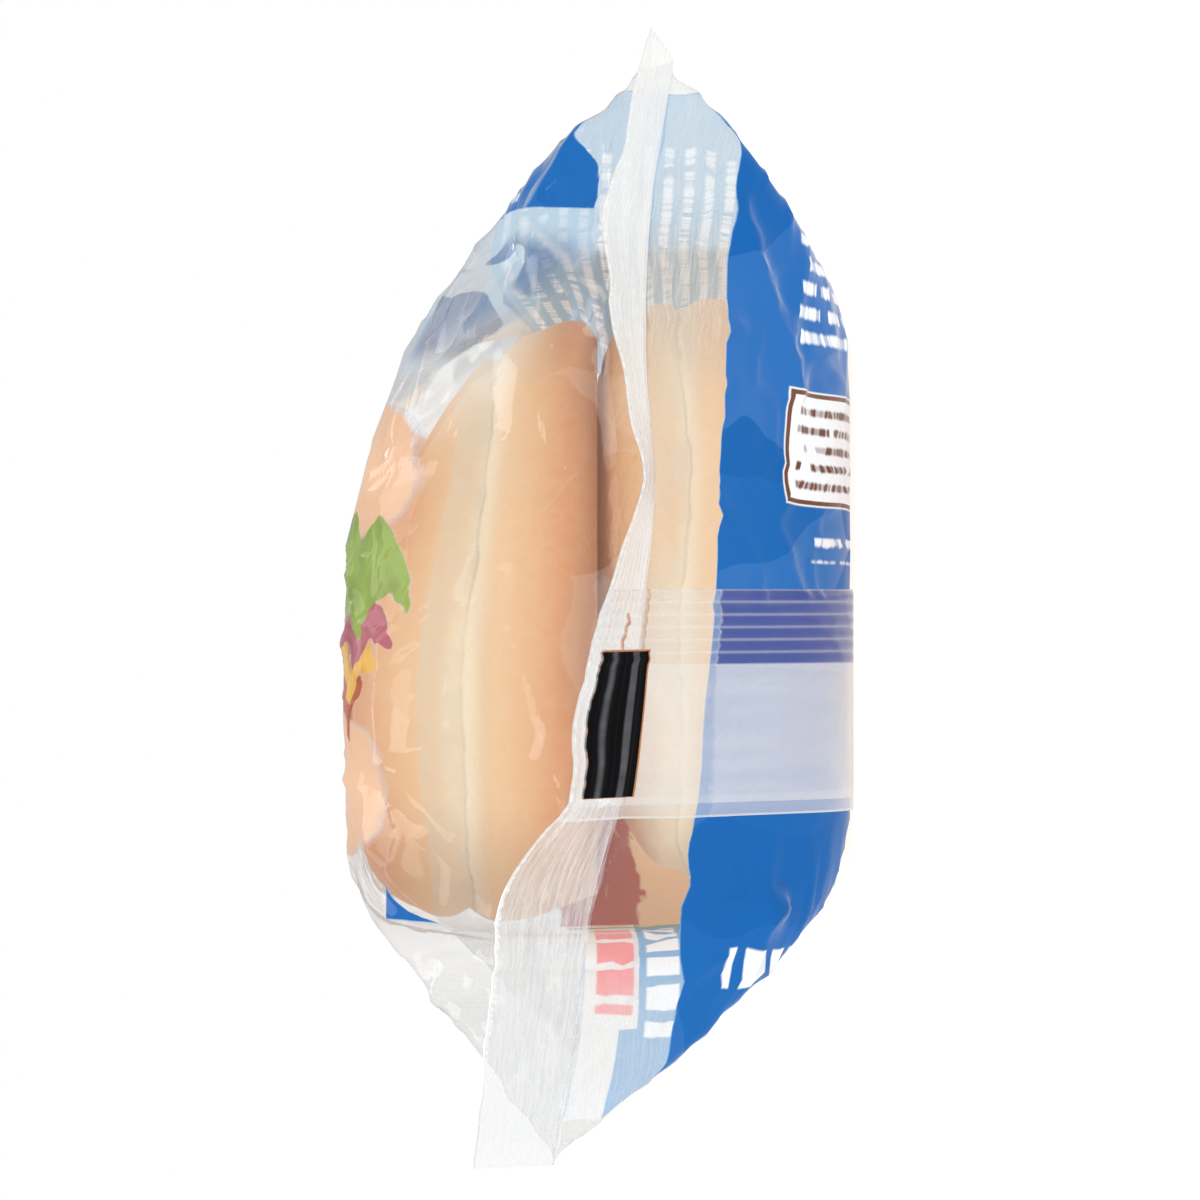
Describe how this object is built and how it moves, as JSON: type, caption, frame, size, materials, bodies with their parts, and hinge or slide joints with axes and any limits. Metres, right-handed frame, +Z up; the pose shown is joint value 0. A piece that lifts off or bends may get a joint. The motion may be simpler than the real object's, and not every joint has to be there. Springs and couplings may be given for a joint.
{
  "type": "bagged hamburger buns",
  "caption": "Sealed clear film pack of hamburger buns, wrapped tightly, with a crimped fin at each end, two ears at each fin and a ribbed back seam.",
  "frame": {"origin": "on the table, under the middle of the pack as it lies on its back panel", "axes": "+Z up through the front panel, Y along the pack from one end fin to the other with the shown end at -Y, X across the pack with the slack top edge at +X"},
  "size_m": [0.208, 0.3411, 0.0979],
  "materials": {
    "film": "clear glossy packing film, here in the colour of the bread behind it",
    "print": "ink printed on the inside of glossy film",
    "bun": "soft golden bread crust with a pale waist"
  },
  "bodies": {
    "root": {"bag": "film"}
  },
  "joints": []
}
